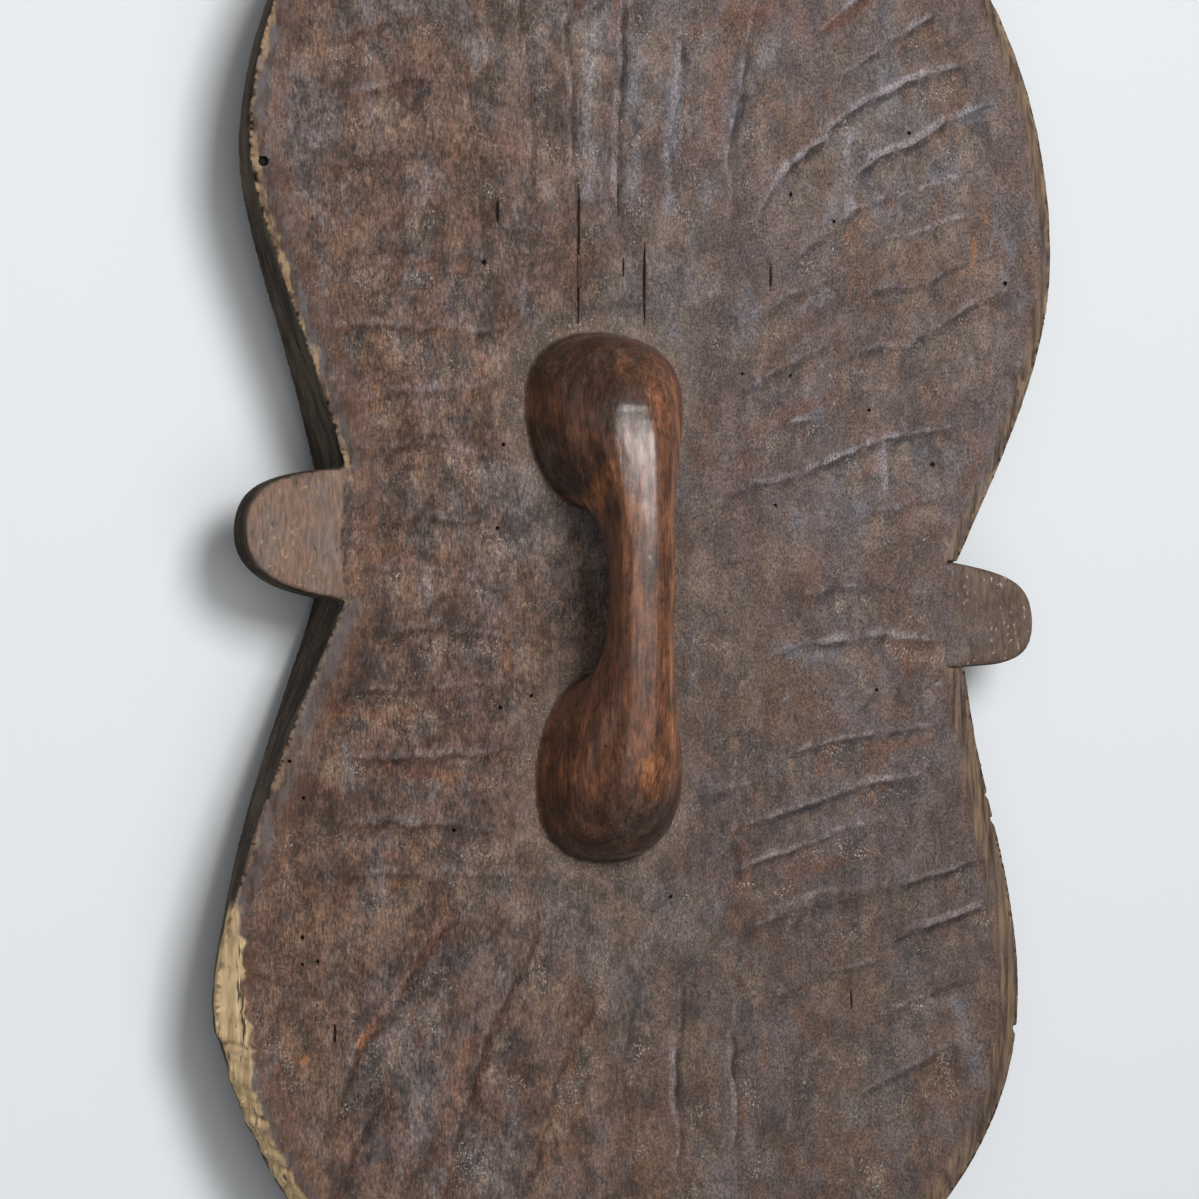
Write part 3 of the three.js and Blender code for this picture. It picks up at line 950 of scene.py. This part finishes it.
def back_colour(s):
    """Weathered brown wood: patches of dirt, rust and dust, broken up by fibres and specks, with painted
    sheen, painted highlights along the crests and painted shade on the cuts' steep sides.
    """
    side = place_ramp(s, "X", -0.12, 0.10)
    colour = s.mix(side, RED_BROWN, MAUVE_GREY)
    hollow = s.ramp(s.field("crest"), 0.15, -0.25)
    for tint, scale, detail, low, high, most, on_crest in BACK_PATCHES:
        patch = s.patchy(scale, detail, 0.68, low, high, 0.0, most)
        kept = s.between(hollow, on_crest, 1.0)
        colour = s.mix(s.product(patch, kept), colour, tint)
    broken = s.patchy((120, 60, 120), 3, 0.7, 0.347, 0.566, 0.15, 1.0)
    # Painted shade on the steep sides of the cuts, which face away from the light.
    shaded = s.product(s.ramp(s.field("falling"), 0.04, 0.26, 0.0, 0.75), broken)
    colour = s.mix(shaded, colour, s.mix(side, DARK_RED, DARK_SHADE_AND_STAIN))
    # Pale lines along the crests: rubbed wear and a painted highlight.
    rubbed = s.ramp(s.field("ridge"), 0.07, 0.24, 0.0, 0.80)
    rubbed = s.product(rubbed, s.ramp(side, 0.2, 1.0, 0.35, 1.0))
    colour = s.mix(s.product(rubbed, broken), colour, PALE_HIGHLIGHT_AND_RUB)
    for name, (tint, most) in STROKE_TINTS.items():
        colour = s.mix(s.product(s.field(name), broken, most), colour, tint)
    shade = s.patchy((60, 42, 60), 4, 0.88, 0.347, 0.653, 0.48, 1.52)
    colour = s.mix(s.between(side, 1.0, 0.5), colour, s.times(colour, shade))
    fibres = s.patchy((1050, 280, 1050), 1, 0.7, 0.206, 0.794, 0.50, 1.50)
    grain = s.patchy((1250, 900, 1250), 1, 0.6, 0.28, 0.721, 0.55, 1.45)
    colour = s.mix(s.between(side, 0.9, 0.15), colour, s.times(colour, fibres))
    colour = s.mix(s.between(side, 0.5, 0.85), colour, s.times(colour, grain))
    # Painted sheen: the upper lobe lighter and bluer; the lower lobe darker.
    tone = s.mix(place_ramp(s, "Y", 0.10, -0.20), UPPER_TONE, LOWER_TONE)
    colour = s.mix(s.between(side, 0.25, 1.0), colour, s.times(colour, tone))
    dirty = s.patchy(70, 4, 0.75, 0.392, 0.608, 0.15, 1.0)
    pits = s.patchy((1100, 700, 1100), 1, 0.6, 0.549, 0.721)
    colour = s.mix(s.product(pits, dirty, 0.8), colour, DARK_SHADE_AND_STAIN)
    near_foot = s.ramp(s.field("foot"), 16.0, 4.0)
    colour = s.mix(s.product(near_foot, 0.30), colour, TAN_FILM)
    dusty = s.math("MAXIMUM", s.patchy(55, 4, 0.75, 0.466, 0.682), near_foot)
    dusty = s.product(dusty, s.between(hollow, 0.3, 1.0))
    specks = s.patchy((1350, 950, 1350), 1, 0.6, 0.561, 0.708)
    colour = s.mix(s.product(specks, dusty, 0.9), colour, DUST)
    dashes = s.product(s.patchy((520, 110, 520), 1, 0.7, 0.63, 0.761), dirty, 0.45)
    return s.mix(dashes, colour, DARK_SHADE_AND_STAIN)


def grip_colour(s):
    """Hand-polished wood: reddish brown, darker at the left and the ends, with painted shade under the
    upper bulb, orange where worn.
    """
    figure = s.ramp(s.noise((120, 26, 120), 3, 0.66, 0.3), 0.36, 0.64)
    colour = s.mix(figure, s.mix(0.55, GRIP_DARK, GRIP_RED), GRIP_RED)
    # Near black: painted shade on the upper bulb's underside, and its darkened shoulder and lower end.
    colour = s.mix(s.product(s.field("dark_grip"), 0.9), colour, GRIP_BLACK)
    grime = s.patchy((110, 60, 110), 3, 0.72, 0.462, 0.652, 0.0, 0.55)
    colour = s.mix(grime, colour, s.mix(s.product(s.field("dark_grip"), 0.6), GRIP_DARK, TAN_FILM))
    ragged = s.patchy((150, 40, 150), 3, 0.65, 0.338, 0.616)
    flecks = s.patchy((70, 20, 70), 4, 0.6, 0.521, 0.686, 0.0, 0.30)
    worn = s.math("MAXIMUM", s.field("worn_grip"), flecks)
    colour = s.mix(s.product(worn, ragged, 0.85), colour, GRIP_ORANGE)
    shade = s.patchy((150, 60, 150), 3, 0.9, 0.311, 0.689, 0.62, 1.38)
    colour = s.times(colour, shade)
    fibres = s.patchy((900, 60, 900), 1, 0.7, 0.206, 0.794, 0.60, 1.40)
    colour = s.times(colour, fibres)
    pits = s.patchy(1000, 1, 0.6, 0.622, 0.745, 0.0, 0.7)
    return s.mix(pits, colour, DARK_SHADE_AND_STAIN)


def rim_colour(s, colour):
    """Adds the rim's bands to the back's colour: bevel, splintered strip and worn ochre arris."""
    distance = s.field("rim_distance")
    side = place_ramp(s, "X", -0.02, 0.02)
    low_side = place_ramp(s, "Y", 0.0, -0.06)
    fibres = s.noise((360, 28, 360), 2, 0.78)
    broken = s.math("MULTIPLY", s.math("SUBTRACT", s.noise((160, 60, 160), 3, 0.7), 0.5), 11.593)
    uneven = s.math("ADD", distance, broken)

    inner = s.product(s.ramp(uneven, 17.0, 11.0), s.ramp(uneven, 5.0, 9.0))
    inner = s.product(inner, s.between(side, 0.35, 0.1))
    colour = s.mix(inner, colour, s.mix(s.ramp(fibres, 0.369, 0.631), RED_BROWN, RUST))
    band = s.product(s.ramp(uneven, 7.5, 5.0), s.field("open_rim"), s.between(side, 1.0, 0.35))
    patches = s.patchy((70, 36, 70), 4, 0.7, 0.412, 0.61)
    patches = s.product(patches, s.between(low_side, 0.9, 0.5))
    bevel = s.mix(patches, s.mix(s.ramp(fibres, 0.336, 0.664), DARK_RED, MAUVE_GREY), BLUE_GREY)
    colour = s.mix(s.product(band, 0.75), colour, bevel)

    strip_width = s.between(low_side, 7.5, 11.0)
    strip = s.ramp(s.math("SUBTRACT", uneven, strip_width), 1.0, -2.0)
    some = s.patchy((60, 26, 60), 4, 0.7, 0.373, 0.585, 0.45, 1.0)
    strip = s.product(strip, side, s.field("open_rim"), some, s.between(low_side, 0.8, 0.95))
    splinters = s.mix(s.ramp(fibres, 0.336, 0.664), SPLINTER_DARK, SPLINTER_PALE)
    colour = s.mix(strip, colour, splinters)

    rubbed = s.patchy((60, 40, 60), 4, 0.7, 0.373, 0.542, 0.25, 1.0)
    arris = s.product(s.ramp(uneven, 3.0, 1.2), s.field("open_rim"), rubbed)
    arris = s.product(arris, s.between(side, 0.9, 0.5), s.between(low_side, 1.0, 0.45))
    worn = s.patchy((180, 90, 180), 3, 0.65, 0.365, 0.568)
    return s.mix(arris, colour, s.mix(worn, OCHRE_BROWN, OCHRE))


def tab_colour(s):
    """The faces of the two tabs: pinkish tan on the left, dark brown with pale specks on the right."""
    side = place_ramp(s, "X", -0.02, 0.02)
    tab = s.mix(side, TAB_TAN, TAB_BROWN)
    patches = s.patchy((80, 30, 80), 4, 0.7, 0.434, 0.61, 0.0, 0.6)
    tab = s.mix(patches, tab, s.mix(side, TAB_GREY, TAN_FILM))
    stains = s.patchy((110, 60, 110), 3, 0.7, 0.57, 0.686, 0.0, 0.7)
    tab = s.mix(stains, tab, DARK_SHADE_AND_STAIN)
    fibres = s.patchy((620, 130, 620), 1, 0.85, 0.108, 0.892, 0.60, 1.40)
    tab = s.times(tab, fibres)
    specks = s.patchy((600, 400, 600), 1, 0.6, 0.636, 0.745, 0.0, 0.8)
    return s.mix(specks, tab, s.mix(side, OCHRE, DUST))


def flank_colour(s):
    """The rim's wall: dark brown with fine lines along it and a few light specks."""
    flank = s.mix(s.patchy((60, 24, 120), 4, 0.7, 0.368, 0.632), FLANK_DARK, FLANK_BROWN)
    lines = s.patchy((240, 40, 700), 2, 0.65, 0.256, 0.744, 0.60, 1.40)
    flank = s.times(flank, lines)
    dusty = s.patchy(40, 4, 0.7, 0.45, 0.60, 0.15, 1.0)
    specks = s.product(s.patchy(650, 1, 0.7, 0.582, 0.794, 0.0, 0.7), dusty)
    return s.mix(specks, flank, FLANK_SPECK)


def bare_colour(s):
    """Bare broken wood: pale tan fibres with fine dark cracks."""
    fibres = s.patchy((500, 40, 250), 2, 0.66, 0.243, 0.654)
    bare = s.mix(fibres, BARE_SHADE, BARE_WOOD)
    cracks = s.patchy((380, 40, 380), 2, 0.72, 0.586, 0.687, 0.0, 0.9)
    return s.mix(cracks, bare, DARK_SHADE_AND_STAIN)


def wood_material():
    """The one material: the colours of all the regions, and gloss on the grip only."""
    material = bpy.data.materials.new("old_carved_wood")
    s = Shader(material)
    surface = s.node("ShaderNodeBsdfPrincipled")
    output = s.node("ShaderNodeOutputMaterial")
    s.link(surface.outputs["BSDF"], output.inputs["Surface"])

    colour = s.mix(s.product(s.field("tab"), 0.95), back_colour(s), tab_colour(s))
    colour = rim_colour(s, colour)
    colour = s.mix(s.field("flank"), colour, flank_colour(s))
    colour = s.mix(s.field("grip"), colour, grip_colour(s))
    colour = s.mix(s.field("bare"), colour, bare_colour(s))
    # Painted shade in the crease round the grip's foot.
    colour = s.mix(s.ramp(s.field("foot"), 2.2, 0.6, 0.0, 0.8), colour, DARK_SHADE_AND_STAIN)
    # Painted shade: the cracks and worm holes go black.
    hollow = s.math("MAXIMUM", s.ramp(s.field("crack"), 0.12, -0.12), s.ramp(s.field("hole"), 0.1, -0.2))
    colour = s.mix(hollow, colour, HOLE_BLACK)
    s.link(colour, surface.inputs["Base Color"])

    surface.inputs["Specular IOR Level"].default_value = SPECULAR
    surface.inputs["Coat Roughness"].default_value = COAT_ROUGHNESS
    handled = s.noise((260, 50, 260), 2, 0.65)
    film = s.ramp(handled, 0.245, 0.755, 0.75, 0.25)
    s.link(s.product(s.field("grip"), film), surface.inputs["Coat Weight"])
    dry = s.patchy(60, 4, 0.6, 0.30, 0.70, 0.60, 0.80)
    polish = s.ramp(handled, 0.245, 0.755, 0.30, 0.50)
    dry = s.math("MAXIMUM", dry, s.field("flank"))
    rough = s.node("ShaderNodeMix", data_type="FLOAT")
    s.link(s.field("grip"), rough.inputs["Factor"])
    s.link(dry, rough.inputs["A"])
    s.link(polish, rough.inputs["B"])
    s.link(rough.outputs["Result"], surface.inputs["Roughness"])

    bump = s.node("ShaderNodeBump")
    fine = s.math("ADD", s.noise((700, 60, 700), 1, 0.62), s.noise((520, 380, 520), 1, 0.6))
    s.link(fine, bump.inputs["Height"])
    s.link(BUMP_STRENGTH, bump.inputs["Strength"])
    s.link(BUMP_DISTANCE, bump.inputs["Distance"])
    s.link(bump.outputs["Normal"], surface.inputs["Normal"])
    return material


# ---------------------------------------------------------------- piece


def shield_piece():
    """The whole shield as one fine mesh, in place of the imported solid."""
    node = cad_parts[NODE]
    board = Board(node)
    foot = grip_foot(node, board)
    relief = carved_relief(foot)
    piece = remeshed(node)
    relax(piece.data, RELAX_ROUNDS)
    sharpen_arris(piece.data, board)
    refine(piece.data, board)
    carve(piece.data, board, foot, relief)
    decimated(piece)
    mark_fields(piece.data, board, foot, relief)
    piece.data.shade_smooth()
    piece.data.materials.clear()
    piece.data.materials.append(wood_material())
    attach(piece, "root")
    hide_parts(NODE)
    return piece


# ---------------------------------------------------------------- stage

FLOOR_COLOUR = (0.845, 0.866, 0.886)
FLOOR_ROUGHNESS = 0.9
FLOOR_HALF = 6.0  # metres
WORLD_COLOUR = (0.93, 0.97, 1.0)
WORLD_STRENGTH = 0.12

# Square lights aimed at the middle of the part: place and size in metres, and power in watts.
LIGHTS = {
    "key": ((0.10, 0.70, 2.10), 0.8, 29),
    "softbox": ((-0.20, -0.05, 2.20), 2.6, 22),
}

VIEW_TARGET = Vector((-25.2, -20.5, 54)) * MM
VIEW_DISTANCE = 2.0
VIEW_LEFT = 24.0  # degrees to the left of straight down
VIEW_DOWN = 1.5  # degrees towards the lower lobe
LENS = 142.97  # focal length in millimetres


def make_floor():
    mesh = bpy.data.meshes.new("floor")
    corners = [(x * FLOOR_HALF, y * FLOOR_HALF, 0) for x, y in ((-1, -1), (1, -1), (1, 1), (-1, 1))]
    mesh.from_pydata(corners, [], [(0, 1, 2, 3)])
    floor = bpy.data.objects.new("floor", mesh)
    bpy.context.scene.collection.objects.link(floor)
    material = bpy.data.materials.new("pale_floor")
    material.use_nodes = True
    surface = material.node_tree.nodes["Principled BSDF"]
    surface.inputs["Base Color"].default_value = rgba(FLOOR_COLOUR)
    surface.inputs["Roughness"].default_value = FLOOR_ROUGHNESS
    mesh.materials.append(material)


def make_lights():
    world = bpy.data.worlds.new("soft_room")
    world.use_nodes = True
    background = world.node_tree.nodes["Background"]
    background.inputs["Color"].default_value = rgba(WORLD_COLOUR)
    background.inputs["Strength"].default_value = WORLD_STRENGTH
    bpy.context.scene.world = world
    for name, (place, size, power) in LIGHTS.items():
        light = bpy.data.lights.new(name, "AREA")
        light.shape = "SQUARE"
        light.size = size
        light.energy = power
        lamp = bpy.data.objects.new(name, light)
        lamp.location = place
        lamp.rotation_mode = "QUATERNION"
        lamp.rotation_quaternion = (-Vector(place)).to_track_quat("-Z", "Y")
        lamp.visible_camera = False
        bpy.context.scene.collection.objects.link(lamp)


def make_camera():
    data = bpy.data.cameras.new("camera")
    data.lens = LENS
    camera = bpy.data.objects.new("camera", data)
    left, down = math.radians(VIEW_LEFT), math.radians(VIEW_DOWN)
    level = math.cos(down)
    towards = Vector((-math.sin(left) * level, -math.sin(down), math.cos(left) * level))
    right = Vector((0, 1, 0)).cross(towards).normalized()
    camera.location = VIEW_TARGET + VIEW_DISTANCE * towards
    camera.rotation_mode = "QUATERNION"
    facing = Matrix((right, towards.cross(right), towards)).transposed()
    camera.rotation_quaternion = facing.to_quaternion()
    bpy.context.scene.collection.objects.link(camera)
    bpy.context.scene.camera = camera


shield_piece()
make_floor()
make_lights()
make_camera()
bpy.context.scene.view_settings.view_transform = "Standard"

bpy.context.view_layer.update()
